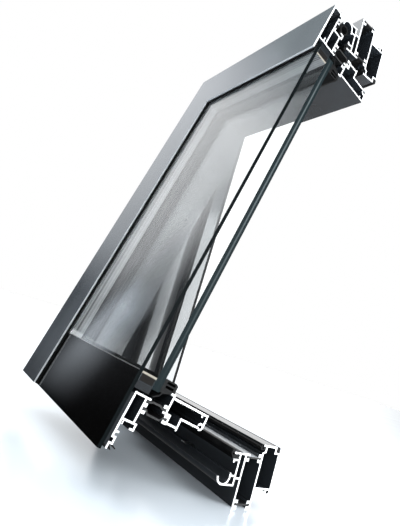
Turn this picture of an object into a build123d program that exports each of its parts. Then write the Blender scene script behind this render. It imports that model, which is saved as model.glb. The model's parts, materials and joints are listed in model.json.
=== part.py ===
"""Cut sample of a top-hung aluminium window: a fixed frame standing on its sill, and a double glazed
sash swung out at the bottom. Both are mitred thermally broken extrusions, sawn through at the right."""

from build123d import *
from math import cos, hypot, radians, sin
import os

# Overall sizes of the sample
FRAME_HEIGHT = 600.0
FRAME_WIDTH = 322.0  # from the left edge to the saw cut
STEP_CLEAR = 5.2  # the closed sash's step stays this far inside the inner shell
SASH_OUT = 43.0  # its flange lies this far outside the frame's outer wall
OPEN_ANGLE = 13.0
HINGE_IN_SASH = 24.4  # hinge line below the sash's upper edge
HINGE_OUT = 19.7  # and outside the frame's outer wall

# Extrusions in common
WALL = 1.8
SEAT = 0.1  # play of a bar or strip in its groove
BAR_WEB = 1.8
BAR_HEAD = 3.0
BAR_HEAD_DEPTH = 2.4
BAR_CLEAR = 0.6  # straight web past a groove's lips, before a step
BAR_BEND = 2.5  # length of the slanted step
LIP_REACH = 4.4  # how far a groove's lips stand off their wall
LIP_HEEL = 2.8

# Fixed frame, outer shell: y from its outer wall inwards, v from the masonry edge to the opening
OUTER_REACH = 55.6  # edge to the flange's face
OUTER_CHAMBER = 7.6  # from the outermost face to the main wall
FLANGE_OUT = 14.6
GUTTER_DROP = 33.7  # flange's face to the gutter's base
GUTTER_RADIUS = 7.8
GUTTER_OUT = 21.4
CHAMBER_DEPTH = 26.2
LEDGE_DROP = 24.3
GROOVE_MOUTH = 5.3  # seal groove below the flange

# Fixed frame, inner shell
BREAK = 21.5  # clear space between the shells, which the bars span
INNER_DEPTH = 25.5
INNER_RISE = 11.8  # the inner shell stands this much higher than the flange
INNER_FLOOR = 21.3
STOP_GROOVE = 3.2  # groove for the stop seal, facing outwards
STOP_DROP = 9.0
STOP_SLOPE = 1.8
TRIM_GROOVE = 6.1  # corner rebate for the trim strip
TRIM_DROP = 7.3
ANCHOR_PORT = 1.9  # radius of the anchor's port below the floor
ANCHOR_IN = 4.4  # its centre from the inner face
GUSSET_RUN = 13.2  # sloped wall from the floor down to the port

# Sash, outer profile: y from the flange's outer face inwards, w from the sash's edge to the glass
SASH_REACH = 54.2
SASH_CHAMBER = 14.6
SASH_FLOOR = 28.2
GROOVE_LOW = 5.6  # clip groove in the flange
GROOVE_HIGH = 11.4
GROOVE_DEPTH = 3.2
TOOTH_RISE = 5.0  # tooth above the groove
HOOK_OUT = 3.2  # seal hook behind the chamber
HOOK_DROP = 5.6
HOOK_LIP = 3.4
SPUR_IN = 3.4  # small spur under the chamber
SPUR_DROP = 4.0
SPUR_WALL = 1.0
SASH_BAR_LOW = 43.4
LOW_STEP = -3.2  # the webs of the sash bars are stepped off their heads
HIGH_STEP = 1.3

# Sash, inner profile
SASH_DEPTH = 87.4
REBATE_WALL = 40.2  # centre of the wall behind the glass
REBATE_HEEL = 3.2
STEP_WALL = 59.0
STEP_RISE = 50.0
STEP_TOE = 1.8
KNEE_WALL = 45.5
SOLE = 40.8
SASH_TOP = 64.8
BEAD_RISE = 2.6  # catch for the gasket above the inner face
BEAD_REACH = 3.2
SCREW_PORT = 2.0  # radius of the port's hole
PORT_START = 170.0
PORT_SWEEP = -275.0
NIB_IN = 6.2  # nib under the inner face
NIB_DROP = 2.6

# Glass unit, stepped at the bottom
OUTER_PANE = 4.0
INNER_PANE = 8.8
CAVITY = 17.2
GLASS_OUT = 7.5  # outer pane's face in front of the flange
PANE_OVERHANG = 2.0  # below the sash's lower edge
OUTER_EDGE = 56.5  # sash edge to the outer pane and the sealant
INNER_EDGE = 62.0  # sash edge to the inner pane
SPACER_EDGE = 63.0
SPACER_DEPTH = 10.0
SPACER_WALL = 1.0
SPACER_CROWN = 2.0  # its wall towards the clear glass
TAPE_LOW = 3.0
TAPE_HIGH = 52.0

# Cover strips over the glass edge, at the head and the left side
COVER_WIDTH = 70.0
COVER_OUT = 12.6
COVER_WALL = 2.0
LEG_WALL = 1.6
RETURN_IN = 3.0
CLIP_IN = 3.4
CLIP_REACH = 5.2
COVER_SEAL = 6.5  # breadth of the gasket under the strip's inner edge
COVER_LIP = 1.6

# Rubber
BULB_RADIUS = 6.6
BULB_WALL = 1.8
BULB_FOOT = 4.6
BULB_STEM = 2.2
GASKET_RISE = 12.0  # above the sash's inner face
GASKET_SPINE = 3.6
GASKET_CELL = 2.5
GASKET_FIN = 1.5
GASKET_HOOK = 2.9
WING_WALL = 1.2
SEAL_NOSE = 4.8  # how far the frame seal stands out of its flange
SEAL_RISE = 2.8
SEAL_HOLE = 1.2
STOP_NOSE = 4.2
TIP_WALL = 1.0

# Small clip on the ledge of the sill
CLIP_FROM_CUT = 94.5
CLIP_LENGTH = 11.0
CLIP_WIDTH = 12.0
CLIP_PLATE = 1.0

# Derived
INNER_REACH = OUTER_REACH + INNER_RISE
GUTTER_BASE = OUTER_REACH - GUTTER_DROP
CHAMBER_FLOOR = OUTER_REACH - CHAMBER_DEPTH
LEDGE_RISE = OUTER_REACH - LEDGE_DROP
SASH_GAP = INNER_REACH + STEP_CLEAR + WALL / 2 - STEP_RISE  # closed sash inside the frame's edge
HINGE_DOWN = SASH_GAP + HINGE_IN_SASH
SASH_HEIGHT = FRAME_HEIGHT - 2 * SASH_GAP
SASH_WIDTH = FRAME_WIDTH - SASH_GAP
FOOT = WALL + LIP_REACH  # width of the sill's outer foot, which carries the origin
BAR_HALF = BAR_HEAD / 2 + SEAT  # a bar's centre to the groove's side
FRAME_BAR_LOW = WALL + BAR_HALF
FRAME_BAR_HIGH = OUTER_REACH - WALL - BAR_HALF
SASH_BAR_HIGH = SASH_REACH - WALL - BAR_HALF
HOOK_Y = SASH_CHAMBER - WALL / 2 + HOOK_OUT
CAVITY_OUT = OUTER_PANE - GLASS_OUT
CAVITY_IN = CAVITY_OUT + CAVITY
MITRE_REACH = 90.0  # the mitres go deeper than any section
BROAD = 150.0  # half thickness of the wedges that cut the mitres


def outline(*points):
    """A closed face of straight sides."""
    return make_face(Polyline(*points, close=True))


def rib(*points, t=WALL):
    """A wall on a centre line: mitred at its bends and squared off half a wall past both ends."""
    half = t / 2
    runs = [(b[0] - a[0], b[1] - a[1]) for a, b in zip(points, points[1:])]
    ways = [(y / hypot(y, v), v / hypot(y, v)) for y, v in runs]
    past = [-half] + [0.0] * (len(points) - 2) + [half]
    near, far = [], []
    for (y, v), (ay, av), (by, bv), push in zip(points, ways[:1] + ways, ways + ways[-1:], past):
        mitre = half / (1 + ay * by + av * bv)
        side = (-(av + bv) * mitre, (ay + by) * mitre)
        end = (y + by * push, v + bv * push)
        near.append((end[0] + side[0], end[1] + side[1]))
        far.append((end[0] - side[0], end[1] - side[1]))
    return outline(*near, *reversed(far))


def ribs(*lines, t=WALL):
    """Walls along several centre lines, fused."""
    return Sketch() + [rib(*line, t=t) for line in lines]


def arc_wall(centre, radius, start=0, sweep=360, t=WALL):
    """A curved wall on the centre line of an arc, or a whole ring."""
    ring = Circle(radius + t / 2) - Circle(radius - t / 2)
    if sweep == 360:
        return Pos(*centre) * ring
    far = 4 * radius
    steps = [start + sweep * k / 4 for k in range(5)]
    fan = [(0, 0)] + [(far * cos(radians(a)), far * sin(radians(a))) for a in steps]
    return Pos(*centre) * (ring & Polygon(*fan, align=None))


def box2(y0, y1, v0, v1):
    """A rectangle by its edges."""
    return Pos((y0 + y1) / 2, (v0 + v1) / 2) * Rectangle(abs(y1 - y0), abs(v1 - v0))


def lip(wall_face, way, v, side):
    """One lip of a bar groove: it stands off the wall and its toe grips the bar's dovetail."""
    near = v + side * BAR_HALF
    toe = v + side * (BAR_WEB / 2 + SEAT)
    far = near + side * LIP_HEEL
    end = wall_face + way * LIP_REACH
    root = wall_face - way * WALL / 2
    grip = wall_face + way * (BAR_HEAD_DEPTH - 3 * SEAT)
    return outline((root, near), (grip, near), (end, toe), (end, far), (root, far))


def bar(y0, y1, v, step=0.0):
    """Polyamide bar: a web with a dovetail head in each shell's groove, stepped between the lips."""
    a, b = y0 + SEAT, y1 - SEAT
    straight = LIP_REACH + BAR_CLEAR
    path = [(a, v), (b, v)]
    if step:
        bends = [(y0 + straight, v), (y0 + straight + BAR_BEND, v + step)]
        back = [(y1 - straight - BAR_BEND, v + step), (y1 - straight, v)]
        path = path[:1] + bends + back + path[1:]
    waist = BAR_WEB / 2
    upper = [(y, w + waist) for y, w in path]
    lower = [(y, w - waist) for y, w in reversed(path)]
    heads = []
    for end, way in ((a, 1), (b, -1)):
        tip = end + way * BAR_HEAD_DEPTH
        half = BAR_HEAD / 2
        heads.append(outline((end, v - half), (end, v + half), (tip, v + waist), (tip, v - waist)))
    return Sketch() + [outline(*upper, *lower)] + heads


def frame_outer_section():
    """Outer shell of the fixed frame: a narrow chamber, a flange with a seal groove and a gutter."""
    h = WALL / 2
    main, thin = h, h - OUTER_CHAMBER
    top = OUTER_REACH - h
    lip_y = h - FLANGE_OUT
    shelf = top - GROOVE_MOUTH - WALL
    gutter_y = -GUTTER_OUT + GUTTER_RADIUS
    gutter_v = GUTTER_BASE + GUTTER_RADIUS
    section = ribs(
        [(main, h), (main, top)],
        [(main, h), (FOOT - h, h)],
        [(thin, GUTTER_BASE), (thin, top)],
        [(lip_y, top), (FOOT - h, top)],
        [(thin, shelf), (lip_y, shelf), (lip_y, shelf - WALL)],
        [(thin, CHAMBER_FLOOR), (main, CHAMBER_FLOOR)],
        [(-GUTTER_OUT, GUTTER_BASE), (thin, GUTTER_BASE)],
        [(thin, LEDGE_RISE), (gutter_y, LEDGE_RISE)],
        [(gutter_y, gutter_v), (gutter_y, LEDGE_RISE + WALL)],
    )
    section += arc_wall((-GUTTER_OUT, gutter_v), GUTTER_RADIUS, 180, 180)
    section += lip(WALL, 1, FRAME_BAR_HIGH, -1)
    section += lip(WALL, 1, FRAME_BAR_LOW, 1)
    return section


def frame_inner_section():
    """Inner shell of the fixed frame: one large chamber, two seal grooves and an anchor slot."""
    h = WALL / 2
    left = WALL + BREAK + h
    right = WALL + BREAK + INNER_DEPTH - h
    top = INNER_REACH - h
    stop_v = INNER_REACH - STOP_DROP
    stop_back = (left + STOP_GROOVE, stop_v + STOP_SLOPE)
    shelf = top - TRIM_DROP + h
    trim_wall = right - TRIM_GROOVE
    ring = ANCHOR_PORT + h
    port = (right + h - ANCHOR_IN, INNER_FLOOR - ring)
    section = ribs(
        [(left, h), (left, stop_v), stop_back, (stop_back[0], top)],
        [(left, top), (trim_wall, top), (trim_wall, shelf), (right, shelf)],
        [(right, shelf), (right, port[1])],
        [(left, INNER_FLOOR), (right, INNER_FLOOR)],
        [(left, h), (left - LIP_REACH, h)],
        [(port[0] - GUSSET_RUN, INNER_FLOOR - h / 2), (port[0] - ring / 2, port[1] - ring + h / 3)],
    )
    section += arc_wall(port, ring)
    for v, side in ((FRAME_BAR_HIGH, -1), (FRAME_BAR_HIGH, 1), (FRAME_BAR_LOW, 1)):
        section += lip(left - h, -1, v, side)
    return section


def frame_bar_section():
    """The two bars that join the frame's shells."""
    return [bar(WALL, WALL + BREAK, v) for v in (FRAME_BAR_LOW, FRAME_BAR_HIGH)]


def sash_outer_section():
    """Outer profile of the sash: flange with a clip groove, chamber, seal hook and bar grooves."""
    h = WALL / 2
    right = SASH_CHAMBER - h
    top = SASH_REACH - h
    back = h + GROOVE_DEPTH
    tooth = GROOVE_HIGH + TOOTH_RISE
    hook_v = SASH_FLOOR - HOOK_DROP
    section = ribs(
        [(h, h), (h, GROOVE_LOW), (back, GROOVE_LOW), (back, GROOVE_HIGH), (h, GROOVE_HIGH), (h, top)],
        [(h, tooth), (back, tooth)],
        [(h, top), (SASH_CHAMBER + LIP_REACH - h, top)],
        [(right, SASH_FLOOR), (right, top)],
        [(h, SASH_FLOOR), (HOOK_Y, SASH_FLOOR), (HOOK_Y, hook_v), (HOOK_Y - HOOK_LIP, hook_v)],
    )
    section += rib((SPUR_IN, SASH_FLOOR), (SPUR_IN, SASH_FLOOR - SPUR_DROP), t=SPUR_WALL)
    section += lip(SASH_CHAMBER, 1, SASH_BAR_LOW, -1)
    middle = (SASH_BAR_HIGH + SASH_BAR_LOW) / 2
    section += box2(right, SASH_CHAMBER + LIP_REACH - SPUR_WALL, middle - WALL, middle + WALL)
    return section


def sash_inner_section():
    """Inner profile of the sash: rebate wall, sole, step and a large chamber with a screw port."""
    h = WALL / 2
    right = SASH_DEPTH - h
    top = SASH_TOP - h
    bead = top + BEAD_RISE
    port = (right - SCREW_PORT - h, STEP_RISE + SCREW_PORT - h / 3)
    elbow = SASH_BAR_HIGH - BAR_HALF - h
    section = ribs(
        [(REBATE_WALL, elbow), (REBATE_WALL, bead), (REBATE_WALL - BEAD_REACH, bead)],
        [(REBATE_WALL - REBATE_HEEL, elbow), (KNEE_WALL, elbow), (KNEE_WALL, SOLE)],
        [(KNEE_WALL - LIP_REACH, SOLE), (STEP_WALL, SOLE)],
        [(STEP_WALL, SOLE - STEP_TOE), (STEP_WALL, STEP_RISE), (port[0] - SCREW_PORT, STEP_RISE)],
        [(right, port[1]), (right, top), (REBATE_WALL, top)],
        [(right - NIB_IN, top), (right - NIB_IN, top - NIB_DROP)],
    )
    section += lip(REBATE_WALL - h, -1, SASH_BAR_HIGH, 1)
    section += lip(KNEE_WALL - h, -1, SASH_BAR_LOW, 1)
    section += lip(KNEE_WALL - h, -1, SASH_BAR_LOW, -1)
    section += arc_wall(port, SCREW_PORT + h, PORT_START, PORT_SWEEP)
    return section


def sash_bar_section():
    """The two bars of the sash: the lower one is the longer."""
    h = WALL / 2
    high = bar(SASH_CHAMBER, REBATE_WALL - h, SASH_BAR_HIGH, HIGH_STEP)
    low = bar(SASH_CHAMBER, KNEE_WALL - h, SASH_BAR_LOW, LOW_STEP)
    return [high, low]


def cover_section():
    """Cover strip: a flat plate with a return at the edge and a leg that clips to the sash."""
    face = COVER_WALL / 2 - COVER_OUT
    leg = SASH_REACH - WALL / 2
    half = COVER_WALL / 2
    end = -SEAT - LEG_WALL / 2
    section = rib((face, half), (face, COVER_WIDTH - half), t=COVER_WALL)
    section += rib((face, RETURN_IN), (end, RETURN_IN), t=LEG_WALL)
    section += rib((face, leg), (end, leg), t=LEG_WALL)
    section += rib((-CLIP_IN, leg), (-CLIP_IN, leg - CLIP_REACH), t=LEG_WALL)
    return fillet(section.vertices().group_by(Axis.X)[0], COVER_WALL / 4)


def cover_gasket_section():
    """Gasket between the cover strip's inner edge and the glass, with a lip that runs past the edge."""
    plate = COVER_WALL - COVER_OUT + SEAT
    glass = -GLASS_OUT - SEAT
    start = COVER_WIDTH - COVER_SEAL
    inner = COVER_WIDTH + COVER_LIP
    edge = [(plate, start), (plate, COVER_WIDTH - SEAT), (glass - WING_WALL, inner)]
    body = outline(*edge, (glass, inner), (glass, start))
    groove = (start + COVER_WIDTH) / 2
    return body - box2(glass - WING_WALL, glass, groove - WING_WALL, groove + WING_WALL)


def glazing_gasket_section():
    """Wedge between the inner pane and the rebate wall: two cells, a hook on the bead and a wing."""
    glass = CAVITY_IN + INNER_PANE + SEAT
    catch = REBATE_WALL - BEAD_REACH - WALL / 2 - SEAT
    bead_low = SASH_TOP - WALL + BEAD_RISE
    bead_high = bead_low + WALL + SEAT
    foot = INNER_EDGE + WING_WALL
    crown = SASH_TOP + GASKET_RISE
    hook = catch + GASKET_HOOK
    heel = glass + GASKET_SPINE + GASKET_FIN
    body = outline(
        (glass, foot), (heel, foot), (catch - GASKET_FIN, bead_low - SEAT), (catch, bead_low - SEAT),
        (catch, bead_high), (hook, bead_high), (hook, crown - GASKET_FIN), (catch, crown), (glass, crown),
    )
    for level in range(2):
        high = crown - GASKET_FIN - level * (GASKET_CELL + GASKET_FIN)
        body -= box2(glass + GASKET_SPINE, catch, high - GASKET_CELL, high)
    tip = (SASH_CHAMBER + LIP_REACH - SEAT, SASH_REACH + BAR_WEB + WING_WALL / 2)
    knee = (glass + GASKET_FIN, foot - GASKET_SPINE)
    return body + ribs([(heel - WING_WALL, foot + WING_WALL / 2), knee, tip], t=WING_WALL)


def frame_seal_section():
    """Seal in the flange groove of the fixed frame, with a hollow nose that stands out of it."""
    top = OUTER_REACH - WALL - SEAT
    low = top - GROOVE_MOUTH + 2 * SEAT
    mouth = -FLANGE_OUT - SEAT
    back = -OUTER_CHAMBER - WALL / 2
    nose = mouth - SEAL_NOSE
    crest = OUTER_REACH + SEAL_RISE
    body = outline(
        (back, low), (back, top), (mouth, top), (mouth, crest), (nose + SEAL_HOLE, crest), (nose, top),
        (mouth - SEAL_HOLE, low),
    )
    return body - Pos((mouth + nose) / 2, top) * Circle(SEAL_HOLE)


def stop_seal_section():
    """Seal in the outward groove of the inner shell, on which the closed sash stops."""
    face = WALL + BREAK
    back = face + STOP_GROOVE - SEAT
    low = INNER_REACH - STOP_DROP + STOP_SLOPE + WALL
    top = INNER_REACH - WALL - SEAT
    nose = face - STOP_NOSE
    middle = (low + top) / 2
    bulge = [(nose, middle + SEAL_HOLE), (nose, low), (face, low)]
    body = outline((back, low), (back, top), (face, top), *bulge)
    return body - Pos(face - SEAL_HOLE, middle) * Circle(SEAL_HOLE)


def trim_seal_section():
    """Strip in the corner rebate of the inner shell."""
    inner = WALL + BREAK + INNER_DEPTH
    left = inner - TRIM_GROOVE + SEAT
    shelf = INNER_REACH - TRIM_DROP + WALL / 2 + SEAT
    strip = box2(left, inner - WALL / 3, shelf, INNER_REACH)
    corner = strip.vertices().sort_by(Axis.Y)[-2:]
    return fillet(corner, WALL)


def tip_seal_section():
    """Forked seal under the clip groove, at the sash's lower edge."""
    root = (WALL + TIP_WALL, GROOVE_LOW - WALL / 2 - TIP_WALL / 2 - SEAT)
    spread = GROOVE_DEPTH
    return ribs(
        [root, (root[0], root[1] - TIP_WALL), (root[0] + spread, -TIP_WALL)],
        [root, (root[0] + spread, root[1]), (root[0] + 2 * spread, root[1] - spread / 2)],
        t=TIP_WALL,
    )


def bulb_section():
    """Tube at the head with a foot in the sash's seal hook."""
    hook_top = SASH_FLOOR - HOOK_DROP + WALL / 2 + SEAT
    stem_right = HOOK_Y - HOOK_LIP - WALL / 2 - SEAT
    stem_left = stem_right - BULB_STEM
    foot_top = SASH_FLOOR - WALL / 2 - SEAT
    centre = (HOOK_Y - BULB_STEM, hook_top - WALL - 2 * SEAT - BULB_RADIUS)
    tube = Pos(*centre) * Circle(BULB_RADIUS)
    stem = box2(stem_left, stem_right, centre[1] + BULB_WALL, foot_top)
    foot = box2(stem_left, stem_left + BULB_FOOT, hook_top, foot_top)
    return tube + stem + foot - Pos(*centre) * Circle(BULB_RADIUS - BULB_WALL)


def side_plane(side, height):
    """Plane of a section at one side: its x runs inwards, its y from the edge to the opening."""
    if side == "sill":
        return Plane((0, 0, 0), x_dir=(0, 1, 0), z_dir=(1, 0, 0))
    if side == "jamb":
        return Plane((0, 0, 0), x_dir=(0, 1, 0), z_dir=(0, 0, -1))
    return Plane((0, 0, height), x_dir=(0, 1, 0), z_dir=(-1, 0, 0))


def mitre_zone(side, width, height, square_end):
    """The space that belongs to one side, bounded by the 45 degree mitres of the left corners."""
    reach = MITRE_REACH
    low = [(0, 0), (width, 0), (width, reach), (reach, reach)]
    if side == "sill":
        points = low
    elif side == "jamb":
        lower = [(0, -reach), (reach, -reach)] if square_end else [(0, 0), (reach, reach)]
        points = lower + [(reach, height - reach), (0, height)]
    else:
        points = [(x, height - z) for x, z in low]
    return extrude(Plane.XZ * outline(*points), amount=BROAD, both=True)


def member(section, side, width, height, below=0.0):
    """A section run along one side of a frame and mitred at the left corners, or cut square below."""
    length = height + below if side == "jamb" else width
    plane = side_plane(side, height)
    run = length if side == "sill" else -length
    sections = section if isinstance(section, list) else [section]
    zone = mitre_zone(side, width, height, below > 0)
    pieces = [Pos(0, 0, -below) * extrude(plane * s, amount=run) & zone for s in sections]
    return pieces[0] if len(pieces) == 1 else Part() + pieces


def slab(y0, y1, left, low, top):
    """A flat piece of the glass unit, from its left edge to the saw cut."""
    box = Box(SASH_WIDTH - left, y1 - y0, top - low, align=(Align.MIN, Align.MIN, Align.MIN))
    return Pos(left, y0, low) * box


def edge_band(y0, y1, start, depth):
    """A band inside the glass unit along its left, lower and upper edges."""
    outer = slab(y0, y1, start, start, SASH_HEIGHT - start)
    end = start + depth
    return outer - slab(y0, y1, end, end, SASH_HEIGHT - end)


def sill_clip():
    """Small bent clip that sits on the sill's ledge."""
    ledge = LEDGE_RISE + WALL / 2 + SEAT  # the ledge's own lip stands one wall higher
    right = -OUTER_CHAMBER - SEAT
    left = -GUTTER_OUT + GUTTER_RADIUS + WALL / 2 + SEAT
    top = ledge + WALL + CLIP_PLATE
    bend = box2(left, right, ledge, top) + box2(right - CLIP_WIDTH, right, top - CLIP_PLATE, top)
    bend = fillet(bend.vertices().group_by(Axis.Y)[-1], CLIP_PLATE / 2)
    start = Pos(FRAME_WIDTH - CLIP_FROM_CUT, 0, 0)
    return start * extrude(side_plane("sill", 0) * bend, amount=CLIP_LENGTH)


def frame_parts():
    """Fixed frame, from its left lower corner."""
    sections = {
        "outer_shell": frame_outer_section(),
        "inner_shell": frame_inner_section(),
        "thermal_bars": frame_bar_section(),
        "frame_seal": frame_seal_section(),
        "stop_seal": stop_seal_section(),
        "trim_seal": trim_seal_section(),
    }
    parts = {
        f"{side}_{name}": member(section, side, FRAME_WIDTH, FRAME_HEIGHT)
        for side in ("sill", "jamb", "head")
        for name, section in sections.items()
    }
    parts["sill_clip"] = sill_clip()
    return parts


def glass_parts():
    """The glass unit: two panes, the spacer between them with its fill, sealant and bonding tape."""
    top = SASH_HEIGHT - OUTER_EDGE
    inner_top = SASH_HEIGHT - INNER_EDGE
    out, back = CAVITY_OUT + SEAT, CAVITY_IN - SEAT
    inside = SPACER_EDGE + SPACER_WALL
    fill_depth = SPACER_DEPTH - SPACER_WALL - SPACER_CROWN
    fill = edge_band(out + SPACER_WALL, back - SPACER_WALL, inside, fill_depth)
    return {
        "outer_pane": slab(-GLASS_OUT, CAVITY_OUT, OUTER_EDGE, -PANE_OVERHANG, top),
        "inner_pane": slab(CAVITY_IN, CAVITY_IN + INNER_PANE, INNER_EDGE, INNER_EDGE, inner_top),
        "edge_sealant": edge_band(out, back, OUTER_EDGE, SPACER_EDGE - OUTER_EDGE),
        "spacer": edge_band(out, back, SPACER_EDGE, SPACER_DEPTH) - fill,
        "spacer_fill": fill,
        "bonding_tape": slab(out, -SEAT, OUTER_EDGE, TAPE_LOW, TAPE_HIGH),
    }


def sash_parts():
    """Sash and glass, from the sash's left lower corner, closed."""
    size = (SASH_WIDTH, SASH_HEIGHT)
    sections = {
        "outer_profile": sash_outer_section(),
        "inner_profile": sash_inner_section(),
        "thermal_bars": sash_bar_section(),
        "glazing_gasket": glazing_gasket_section(),
    }
    names = {"sill": "bottom_rail", "jamb": "left_stile", "head": "top_rail"}
    parts = {
        f"{name}_{piece}": member(section, side, *size)
        for side, name in names.items()
        for piece, section in sections.items()
    }
    for side, name in (("head", "top_cover"), ("jamb", "left_cover")):
        below = PANE_OVERHANG if side == "jamb" else 0.0
        parts[name] = member(cover_section(), side, *size, below)
        parts[f"{name}_gasket"] = member(cover_gasket_section(), side, *size, below)
    parts["head_bulb_seal"] = member(bulb_section(), "head", *size)
    parts["bottom_rail_tip_seal"] = member(tip_seal_section(), "sill", *size)
    parts.update(glass_parts())
    return parts


def main():
    os.makedirs("parts", exist_ok=True)
    to_origin = Pos(-FRAME_WIDTH / 2, -FOOT / 2, 0)
    closed = Pos(SASH_GAP, -SASH_OUT, SASH_GAP)
    hinge = Pos(0, -HINGE_OUT, FRAME_HEIGHT - HINGE_DOWN)
    swing = hinge * Rot(-OPEN_ANGLE, 0, 0) * hinge.inverse()
    placed = {name: to_origin * part for name, part in frame_parts().items()}
    placed.update({name: to_origin * swing * closed * part for name, part in sash_parts().items()})
    for name, part in placed.items():
        export_step(part, f"parts/{name}.step")


main()
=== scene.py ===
"""Looks for the sawn sample of a top-hung aluminium window: coats, bare sawn metal, rubber and glass."""

import json
from math import radians

import bpy
from mathutils import Matrix, Vector

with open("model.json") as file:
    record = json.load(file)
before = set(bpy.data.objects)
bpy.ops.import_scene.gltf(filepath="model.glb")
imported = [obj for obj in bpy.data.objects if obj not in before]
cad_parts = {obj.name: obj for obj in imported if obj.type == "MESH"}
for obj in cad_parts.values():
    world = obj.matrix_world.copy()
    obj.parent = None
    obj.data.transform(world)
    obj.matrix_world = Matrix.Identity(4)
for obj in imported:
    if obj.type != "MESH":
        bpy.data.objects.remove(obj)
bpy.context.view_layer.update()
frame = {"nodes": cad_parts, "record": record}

MM = 0.001
CUT_X = 161.0 * MM  # the saw cut's plane
CUT_SKIN = 0.02 * MM
FACE_SKIN = 0.1 * MM
FOOT_BACK = 3.1 * MM  # the origin lies this far behind the frame's outer wall
FRAME_HEIGHT = 600.0 * MM
SASH_GAP = 23.5 * MM
SASH_OUT = 43.0 * MM
HINGE = Vector((0, -19.7 * MM, 552.1 * MM))
OPEN_ANGLE = radians(13.0)
ENAMEL_TOP = 72.0 * MM
SASH_HEIGHT = FRAME_HEIGHT - 2 * SASH_GAP
COVER_WIDTH = 70.0 * MM
COVER_EDGE_X = SASH_GAP + COVER_WIDTH - CUT_X  # inner edge of the left cover
COVER_EDGE_TOP = SASH_HEIGHT - COVER_WIDTH  # inner edge of the top cover
SPACER_FRONT = -3.3 * MM  # in the sash's depth, just behind the spacer's outer face
SPACER_MIDDLE = 5.0 * MM
CORNER_GLINT_LOW = ENAMEL_TOP + 6 * MM  # the painted highlight on the spacer's lower corner fades out from here
CORNER_GLINT_HIGH = ENAMEL_TOP + 9 * MM
CORNER_GLINT_END = COVER_EDGE_X + 12 * MM
FILM = 18.8 * MM  # the paler film in the inner pane's cut edge, in the sash's depth
LEDGE_TOP = 55.6 * MM  # top of the sill's outer shell
BAR_TOP = 53.1 * MM  # top of the sill's upper thermal bar
LEDGE_FRONT = -5 * MM  # the ledge's painted reflection lies behind this
HOOK_BACK = -8 * MM  # the sill's hook lies in front of this
SPACER_CROWN = 70.9 * MM  # above this the spacer's sawn wall shows bright, below it is smeared dark
BEHIND = (-0.85, 0.527, 0.0)  # level direction from the camera to the backdrop


class Wire:
    """One output of a node. Sums and products of wires and numbers add Math nodes."""

    def __init__(self, graph, socket):
        self.graph, self.socket = graph, socket

    def math(self, operation, first, second=0.0):
        return self.graph.node("Math", {"operation": operation}, {0: first, 1: second})

    def __add__(self, other):
        return self.math("ADD", self, other)

    __radd__ = __add__

    def __sub__(self, other):
        return self.math("SUBTRACT", self, other)

    def __rsub__(self, other):
        return self.math("SUBTRACT", other, self)

    def __mul__(self, other):
        return self.math("MULTIPLY", self, other)

    __rmul__ = __mul__

    def __gt__(self, other):
        return self.math("GREATER_THAN", self, other)

    def __lt__(self, other):
        return self.math("LESS_THAN", self, other)


class Graph:
    """A tree of shader nodes."""

    def __init__(self, tree):
        self.tree = tree
        self.tree.nodes.clear()

    def plug(self, value, socket):
        if isinstance(value, Wire):
            self.tree.links.new(value.socket, socket)
        else:
            socket.default_value = value

    def node(self, kind, settings=None, sockets=None, out=0):
        node = self.tree.nodes.new("ShaderNode" + kind)
        for name, value in (settings or {}).items():
            if name == "stops":
                ramp = node.color_ramp
                for spot, (at, colour) in enumerate(value):
                    stop = ramp.elements[spot] if spot < 2 else ramp.elements.new(at)
                    stop.position, stop.color = at, colour
            else:
                setattr(node, name, value)
        for name, value in (sockets or {}).items():
            self.plug(value, node.inputs[name])
        return Wire(self, node.outputs[out]) if node.outputs else Wire(self, None)

    def xyz(self, place):
        first = self.node("SeparateXYZ", {}, {0: place})
        return [first] + [Wire(self, first.socket.node.outputs[axis]) for axis in (1, 2)]

    def noise(self, place, size, detail=3.0, roughness=0.55):
        """Soft blotches of that size in metres, from 0 to 1."""
        sockets = {"Vector": place, "Scale": 1 / size, "Detail": detail, "Roughness": roughness}
        return self.node("TexNoise", {}, sockets)

    def fade(self, value, low, high, start=0.0, end=1.0):
        """Start where value is at low and end where it is at high, with a straight run between."""
        sockets = {"Value": value, "From Min": low, "From Max": high, "To Min": start, "To Max": end}
        return self.node("MapRange", {}, sockets)

    def mix(self, factor, first, second):
        """First colour where the factor is 0, second where it is 1."""
        return self.node("Mix", {"data_type": "RGBA"}, {0: factor, 6: first, 7: second}, out=2)

    def stretched(self, place, scale):
        return self.node("Mapping", {}, {"Vector": place, "Scale": scale})


class Finish(Graph):
    """One material. What varies over its surface is wired to its shader, the rest is set on the shader."""

    def __init__(self, name, **looks):
        self.material = bpy.data.materials.new(name)
        self.material.use_nodes = True
        super().__init__(self.material.node_tree)
        self.shader = self.principled(**looks)
        self.out = self.tree.nodes.new("ShaderNodeOutputMaterial")
        self.plug(self.shader, self.out.inputs["Surface"])
        self.place = self.node("TexCoord", out="Object")

    def principled(self, **looks):
        sockets = {name.replace("_", " "): value for name, value in looks.items()}
        return self.node("BsdfPrincipled", {}, sockets)

    def set(self, shader=None, **looks):
        node = (shader or self.shader).socket.node
        for name, value in looks.items():
            self.plug(value, node.inputs[name.replace("_", " ")])

    def bump(self, height, depth, strength=1.0):
        return self.node("Bump", {}, {"Height": height, "Distance": depth, "Strength": strength})


def grey(level, blue=0.0, alpha=1.0):
    """A neutral colour, a little blue if asked."""
    return (level * (1 - blue), level * (1 - blue * 0.35), level * (1 + blue * 0.4), alpha)


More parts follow.
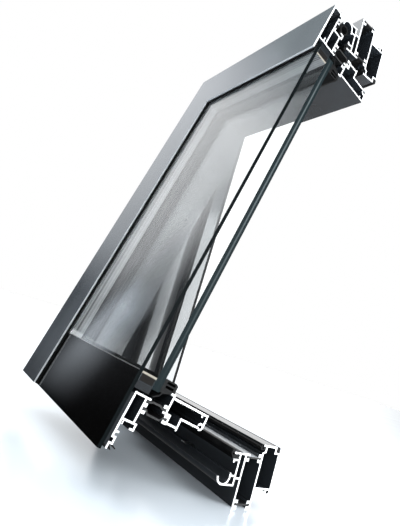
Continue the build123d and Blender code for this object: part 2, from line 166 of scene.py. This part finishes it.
GLOW = 2.0  # the room's brightest light; the stops below are shares of it, by height above the horizon
OUTER_GLOW = [
    (0.0, grey(0.008, 0.3)),
    (0.16, grey(0.035, 0.25)),
    (0.28, grey(0.42, 0.05)),
    (0.40, grey(0.58, 0.03)),
    (0.60, grey(0.70, 0.03)),
    (0.66, grey(0.55, 0.05)),
    (0.73, (0.235, 0.27, 0.285, 1)),
    (0.95, (0.205, 0.25, 0.265, 1)),
]
SIDE_GLOW = [(0.0, grey(0.003)), (0.3, grey(0.04, 0.1)), (0.6, grey(0.25, 0.05)), (0.8, grey(0.5, 0.03))]


def sash_place(finish):
    """Coordinates of the closed sash: x along the rail, y through its depth, z from its lower edge."""
    turn = Matrix.Rotation(OPEN_ANGLE, 3, "X")
    closed = Vector((0, -SASH_OUT, SASH_GAP))
    shift = turn @ (Vector((0, FOOT_BACK, 0)) - HINGE) + HINGE - closed
    sockets = {"Vector": finish.place, "Location": tuple(shift), "Rotation": (OPEN_ANGLE, 0, 0)}
    return finish.node("Mapping", {}, sockets)


def sawn(finish, colour, roughness, metallic, skin, skin_depth):
    """Bare bright metal with fine saw marks on the cut, and the coat elsewhere."""
    bare = finish.xyz(finish.place)[0] > CUT_X - CUT_SKIN
    marks = finish.noise(finish.stretched(finish.place, (1, 0.12, 1.6)), 0.5 * MM, 2.0)
    shade = finish.fade(marks, 0.3, 0.7, 0.86, 0.97)
    bright = finish.node("CombineColor", {}, {0: shade, 1: shade, 2: shade})
    height = bare * marks * 0.02 * MM + (1 - bare) * skin * skin_depth
    finish.set(
        Base_Color=finish.mix(bare, colour, bright),
        Roughness=bare * finish.fade(marks, 0.2, 0.8, 0.38, 0.55) + (1 - bare) * roughness,
        Metallic=bare * 0.35 + (1 - bare) * metallic,
        Normal=finish.bump(height, 1.0, 0.5),
    )


def powder_coat(name, ledge_painted_reflection=False):
    """Dark satin coat with a very fine skin; the sill's hidden ledge carries a pale painted reflection."""
    finish = Finish(name, IOR=1.5)
    skin = finish.noise(finish.place, 0.8 * MM, 3.0)
    cloud = finish.noise(finish.place, 55 * MM, 2.0)
    dust = finish.noise(finish.place, 4 * MM, 5.0, 0.7)
    tone = finish.mix(finish.fade(cloud, 0.3, 0.7), grey(0.022, 0.18), grey(0.028, 0.20))
    tone = finish.mix(finish.fade(dust, 0.62, 0.8, 0.0, 0.2), tone, grey(0.05, 0.05))
    rough = finish.fade(cloud, 0.3, 0.7, 0.13, 0.16) + finish.fade(skin, 0.2, 0.8, -0.02, 0.02)
    metallic = 0.0
    if ledge_painted_reflection:
        # Painted reflection: the top of the sill's outer shell gets a pale streaked grey and a little
        # metallic in place of the backdrop reflected there.
        _, y, z = finish.xyz(finish.place)
        ledge = (z > LEDGE_TOP - FACE_SKIN) * (y > LEDGE_FRONT)
        drawn = finish.noise(finish.stretched(finish.place, (0.04, 1, 1)), 0.6 * MM, 3.0)
        tone = finish.mix(ledge, tone, finish.mix(drawn, grey(0.50, 0.03), grey(0.62, 0.03)))
        rough = rough + 0.25 + (y < HOOK_BACK) * 0.3
        metallic = ledge * 0.3
    sawn(finish, tone, rough, metallic, skin, 0.0003 * MM)
    return finish.material


def cover_coat():
    """Satin metallic coat of the cover strips: fine bright flakes, and a painted highlight along the inner
    edge.
    """
    finish = Finish("cover_coat", IOR=1.5)
    flake = finish.noise(finish.place, 0.35 * MM, 2.0)
    cloud = finish.noise(finish.place, 70 * MM, 2.0)
    tone = finish.mix(finish.fade(cloud, 0.3, 0.7), grey(0.20, 0.10), grey(0.23, 0.10))
    tone = finish.mix(finish.fade(flake, 0.5, 0.75, 0.0, 0.4), tone, grey(0.30, 0.06))
    rough = finish.fade(cloud, 0.3, 0.7, 0.15, 0.18) + finish.fade(flake, 0.3, 0.7, -0.02, 0.02)
    along, _, height = finish.xyz(sash_place(finish))
    # Painted highlight: the inner edge faces get a thin pale, non-metallic strip in place of the glint of
    # light along that edge.
    edge = (along > COVER_EDGE_X - 0.3 * MM) * (height < COVER_EDGE_TOP + 0.3 * MM)
    tone = finish.mix(edge, tone, grey(0.52, 0.03))
    sawn(finish, tone, rough, (1 - edge) * 0.8, flake, 0.002 * MM)
    return finish.material


def polyamide(name, dark=0.008, light=0.032, top_painted_reflection=False):
    """Matt grey-black plastic with short glass fibres as pale flecks. The sill's top bar gets a pale painted
    reflection.
    """
    finish = Finish(name, IOR=1.53, Specular_IOR_Level=0.3)
    along = finish.noise(finish.stretched(finish.place, (0.08, 1, 1)), 0.3 * MM, 3.0)
    flecks = finish.noise(finish.place, 0.18 * MM, 2.0)
    tone = finish.mix(finish.fade(flecks, 0.45, 0.75), grey(dark), grey(light))
    if top_painted_reflection:
        # Painted reflection: the top face of the sill's upper bar is lightened to a silvery grey.
        x, _, z = finish.xyz(finish.place)
        top = (z > BAR_TOP - FACE_SKIN) * (x < CUT_X - CUT_SKIN)
        tone = finish.mix(top, tone, finish.mix(along, grey(0.66, 0.06), grey(0.78, 0.06)))
    finish.set(
        Base_Color=tone,
        Roughness=finish.fade(along, 0.2, 0.8, 0.45, 0.65),
        Normal=finish.bump(along, 0.06 * MM, 0.6),
    )
    return finish.material


def rubber():
    """Black weather rubber with drawn lines and a faint bloom."""
    finish = Finish("rubber", IOR=1.5, Specular_IOR_Level=0.08)
    drawn = finish.noise(finish.stretched(finish.place, (0.05, 1, 1)), 0.5 * MM, 3.0)
    bloom = finish.noise(finish.place, 9 * MM, 4.0, 0.65)
    tone = finish.mix(finish.fade(bloom, 0.45, 0.8), grey(0.005), grey(0.014, 0.03))
    finish.set(
        Base_Color=tone,
        Roughness=finish.fade(bloom, 0.3, 0.8, 0.42, 0.62),
        Normal=finish.bump(drawn, 0.08 * MM, 0.5),
    )
    return finish.material


def clear_glass(name, enamelled):
    """Float glass, dark at its cut edge. The outer pane has a black border, the inner pane a paler film."""
    finish = Finish(name, Transmission_Weight=1.0, IOR=1.5, Roughness=0.0)
    tint = finish.noise(finish.place, 120 * MM, 2.0)
    finish.set(Base_Color=finish.mix(tint, (0.965, 0.98, 0.98, 1), (0.98, 0.99, 0.99, 1)))
    x = finish.xyz(finish.place)[0]
    _, depth, height = finish.xyz(sash_place(finish))
    chips = finish.noise(finish.stretched(finish.place, (1, 1, 0.2)), 0.6 * MM, 3.0)
    edge = finish.principled(IOR=1.5, Specular_IOR_Level=0.02)
    if enamelled:
        cut_tone = finish.mix(chips, (0.001, 0.0016, 0.0018, 1), (0.004, 0.006, 0.0065, 1))
    else:
        cut_tone = finish.mix(chips, (0.004, 0.0065, 0.0072, 1), (0.012, 0.018, 0.020, 1))
        film = finish.fade(depth, FILM - 1.6 * MM, FILM - 0.2 * MM)
        film = film * finish.fade(depth, FILM + 1.0 * MM, FILM + 0.2 * MM)
        film = film * finish.fade(height, 0.06, 0.3) * finish.fade(height, 0.50, 0.44)
        cut_tone = finish.mix(film, cut_tone, (0.072, 0.084, 0.086, 1))
    finish.set(
        edge,
        Base_Color=cut_tone,
        Roughness=chips * 0.2 + 0.35,
        Normal=finish.bump(chips, 0.05 * MM, 0.4),
    )
    both = finish.node("MixShader", {}, {0: x > CUT_X - CUT_SKIN, 1: finish.shader, 2: edge})
    if enamelled:
        grain = finish.noise(finish.place, 3 * MM, 2.0)
        coated = (height < ENAMEL_TOP) * (x < CUT_X - CUT_SKIN)
        ink = finish.principled(IOR=1.8)
        black = finish.mix(grain, grey(0.0008), grey(0.002))
        finish.set(ink, Base_Color=black, Roughness=grain * 0.05 + 0.06)
        both = finish.node("MixShader", {}, {0: coated, 1: both, 2: ink})
    finish.plug(both, finish.out.inputs["Surface"])
    return finish.material


def spacer_metal():
    """Bright spacer, finely knurled across its faces, with a smooth rear half, and dull where it is sawn. Its
    outer face is lightened as painted light, and its lower corner has a painted highlight.
    """
    finish = Finish("spacer_metal", Specular_IOR_Level=0.2)
    bare = finish.xyz(finish.place)[0] > CUT_X - CUT_SKIN
    along, depth, height = finish.xyz(sash_place(finish))
    turned = finish.node("Mapping", {}, {"Vector": sash_place(finish), "Rotation": (0, 0, radians(40))})
    sockets = {"Vector": turned, "Scale": 110.0, "Distortion": 0.4}
    hatch = finish.node("TexWave", {"wave_type": "BANDS"}, sockets)
    blotch = finish.noise(finish.place, 6 * MM, 3.0)
    knurled = finish.mix(hatch, grey(0.12), grey(0.38))
    smooth = finish.mix(hatch, grey(0.36), grey(0.50))
    tone = finish.mix(finish.fade(depth, SPACER_MIDDLE - 0.8 * MM, SPACER_MIDDLE + 0.8 * MM), knurled, smooth)
    # Painted light: the spacer's outer face is set to a plain pale grey with no metal look, in place of light
    # that barely reaches it.
    tone = finish.mix(depth < SPACER_FRONT, tone, grey(0.6))
    tone = finish.mix(finish.fade(blotch, 0.3, 0.8, 0.0, 0.3), tone, grey(0.2))
    # Painted highlight: a near-white, non-metallic patch on the spacer's lower corner.
    corner_glint = finish.fade(height, CORNER_GLINT_HIGH, CORNER_GLINT_LOW) * (along < CORNER_GLINT_END)
    tone = finish.mix(corner_glint, tone, grey(0.95))
    crown = (height > SPACER_CROWN) * (height < SASH_HEIGHT - SPACER_CROWN)
    sawn_tone = finish.mix(crown, (0.010, 0.013, 0.015, 1), (0.22, 0.20, 0.165, 1))
    finish.set(
        Base_Color=finish.mix(bare, tone, sawn_tone),
        Metallic=(1 - bare) * (1 - corner_glint) * (depth > SPACER_FRONT) * 0.6,
        Roughness=finish.fade(blotch, 0.2, 0.8, 0.3, 0.45) + bare * 0.3,
        Normal=finish.bump(hatch, 0.05 * MM, 0.6),
    )
    return finish.material


def plain_solid(name, dark, light, size, rough, depth):
    """A cast or packed mass in two shades, grained at that size."""
    finish = Finish(name, IOR=1.5, Specular_IOR_Level=0.1)
    grain = finish.noise(finish.place, size, 4.0, 0.65)
    finish.set(
        Base_Color=finish.mix(finish.fade(grain, 0.3, 0.75), dark, light),
        Roughness=finish.fade(grain, 0.2, 0.8, rough - 0.08, rough + 0.08),
        Normal=finish.bump(grain, depth, 0.6),
    )
    return finish.material


def clip_steel():
    """Small clip, satin steel brushed along its length."""
    finish = Finish("clip_steel", Metallic=1.0)
    brushed = finish.noise(finish.stretched(finish.place, (0.06, 1, 1)), 0.25 * MM, 3.0)
    finish.set(
        Base_Color=finish.mix(brushed, grey(0.45), grey(0.72)),
        Roughness=finish.fade(brushed, 0.2, 0.8, 0.25, 0.42),
        Normal=finish.bump(brushed, 0.03 * MM, 0.5),
    )
    return finish.material


def dress(nodes):
    """Gives each node the finish of its record slot."""
    finishes = {
        "frame_coat": powder_coat("powder_coat"),
        "cover_coat": cover_coat(),
        "polyamide": polyamide("polyamide"),
        "rubber": rubber(),
        "glass": clear_glass("clear_glass", False),
        "spacer": spacer_metal(),
        "spacer_fill": plain_solid(
            "drying_beads", (0.003, 0.0028, 0.0026, 1), (0.012, 0.010, 0.009, 1), 0.9 * MM, 0.7, 0.3 * MM
        ),
        "sealant": plain_solid("sealant", grey(0.006, 0.2), grey(0.012, 0.25), 3 * MM, 0.4, 0.2 * MM),
        "hardware": clip_steel(),
    }
    slots = {row["node"]: row["material_slot"] for row in frame["record"]["subparts"]}
    special = {
        "outer_pane": clear_glass("enamelled_glass", True),
        "sill_outer_shell": powder_coat("powder_coat_sill", ledge_painted_reflection=True),
        "sill_thermal_bars": polyamide("polyamide_sill", top_painted_reflection=True),
        # Painted light: the jamb's bars use a paler copy of the plastic, standing in for light in the deep
        # gap behind the glass.
        "jamb_thermal_bars": polyamide("polyamide_jamb_painted_light", 0.06, 0.14),
    }
    for name, node in nodes.items():
        material = special.get(name) or finishes[slots[name]]
        node.data.materials.clear()
        node.data.materials.append(material)


def soft_room():
    """Soft light by direction: white behind the window, a broad glow high on its outer side, dim below."""
    world = bpy.data.worlds.new("soft_room")
    bpy.context.scene.world = world
    world.use_nodes = True
    room = Graph(world.node_tree)
    x, y, z = room.xyz(room.node("TexCoord", out="Generated"))
    level = room.node("CombineXYZ", {}, {0: x, 1: y})
    level = room.node("VectorMath", {"operation": "NORMALIZE"}, {0: level})
    behind = room.node("VectorMath", {"operation": "DOT_PRODUCT"}, {0: level, 1: BEHIND}, out="Value")
    outer = room.node("ValToRGB", {"stops": OUTER_GLOW}, {0: z})
    side = room.node("ValToRGB", {"stops": SIDE_GLOW}, {0: z})
    side = room.mix(room.fade(z, -0.08, -0.22), side, grey(0.05, 0.1))
    light = room.mix(room.fade(behind, 0.56, 0.645), side, outer)
    low_panel = room.fade(behind, 0.565, 0.612) * room.fade(behind, 0.642, 0.622)
    low_panel = low_panel * room.fade(z, -0.04, 0.07) * room.fade(z, 0.27, 0.19)
    light = room.mix(low_panel, light, grey(0.53, 0.13))
    backdrop = room.mix(room.fade(z, -0.3, 0.0), grey(0.4), grey(0.75))
    light = room.mix(room.fade(behind, 0.82, 0.93), light, backdrop)
    light = room.node("VectorMath", {"operation": "SCALE"}, {0: light, "Scale": GLOW})
    seen = room.node("LightPath", out="Is Camera Ray")
    shine = room.node("Background", {}, {"Color": room.mix(seen, light, (1, 1, 1, 1))})
    room.node("OutputWorld", {}, {"Surface": shine})


def studio():
    """Pale floor, soft lights and the camera."""
    bpy.ops.object.select_all(action="DESELECT")
    bpy.ops.mesh.primitive_plane_add(size=14, location=(0, 0, -0.0002))
    floor = bpy.context.object
    floor.name = "floor"
    pale = Finish("pale_floor", IOR=1.45)
    speckle = pale.noise(pale.place, 0.4, 2.0)
    pale.set(
        Base_Color=pale.mix(speckle, (0.72, 0.78, 0.84, 1), (0.74, 0.80, 0.85, 1)),
        Roughness=pale.fade(speckle, 0.3, 0.7, 0.16, 0.2),
    )
    floor.data.materials.append(pale.material)
    floor.visible_glossy = False

    soft_room()

    def softbox(name, place, target, size, power):
        bpy.ops.object.light_add(type="AREA", location=place)
        lamp = bpy.context.object
        lamp.name = name
        lamp.data.shape = "RECTANGLE"
        lamp.data.size, lamp.data.size_y = size
        lamp.data.energy = power
        lamp.data.color = (0.95, 0.98, 1.0)
        aim = (Vector(target) - Vector(place)).to_track_quat("-Z", "Y")
        lamp.rotation_euler = aim.to_euler()
        return lamp

    softbox("right_light", (1.2, 1.18, 0.3), (-0.09, 0.02, 0.3), (0.9, 1.1), 60)
    softbox("top_light", (-1.2, -1.35, 1.7), (0, 0, 0.4), (1.1, 1.1), 20)
    softbox("low_light", (1.4, 0.55, -0.12), (-0.07, -0.1, 0.1), (0.8, 0.36), 6.5)
    fills = (
        softbox("deep_light", (1.25, -0.12, 0.12), (-0.1, 0, 0.1), (0.4, 0.3), 11),
        softbox("front_light", (1.1, -0.9, 0.5), (0.05, 0, 0.05), (0.6, 0.6), 7),
        softbox("floor_light", (-0.3, -0.6, 2.4), (0, -0.3, 0), (3.5, 3.5), 27),
    )
    for lamp in fills:
        lamp.visible_glossy = lamp.visible_transmission = False

    data = bpy.data.cameras.new("camera")
    data.sensor_width = 36.0
    data.lens = 31.03
    data.shift_x, data.shift_y = -0.01687, 0.0003
    data.clip_start = 0.01
    camera = bpy.data.objects.new("camera", data)
    right = Vector((0.54434, 0.78795, 0.28773))
    up = Vector((-0.01881, -0.33147, 0.94331))
    back = Vector((0.83867, -0.51891, -0.16562))
    turn = Matrix((right, up, back)).transposed()
    camera.matrix_world = Matrix.Translation((0.5409, -0.3525, 0.1555)) @ turn.to_4x4()
    bpy.context.scene.collection.objects.link(camera)
    bpy.context.scene.camera = camera
    bpy.context.scene.view_settings.view_transform = "Standard"


dress(frame["nodes"])
studio()
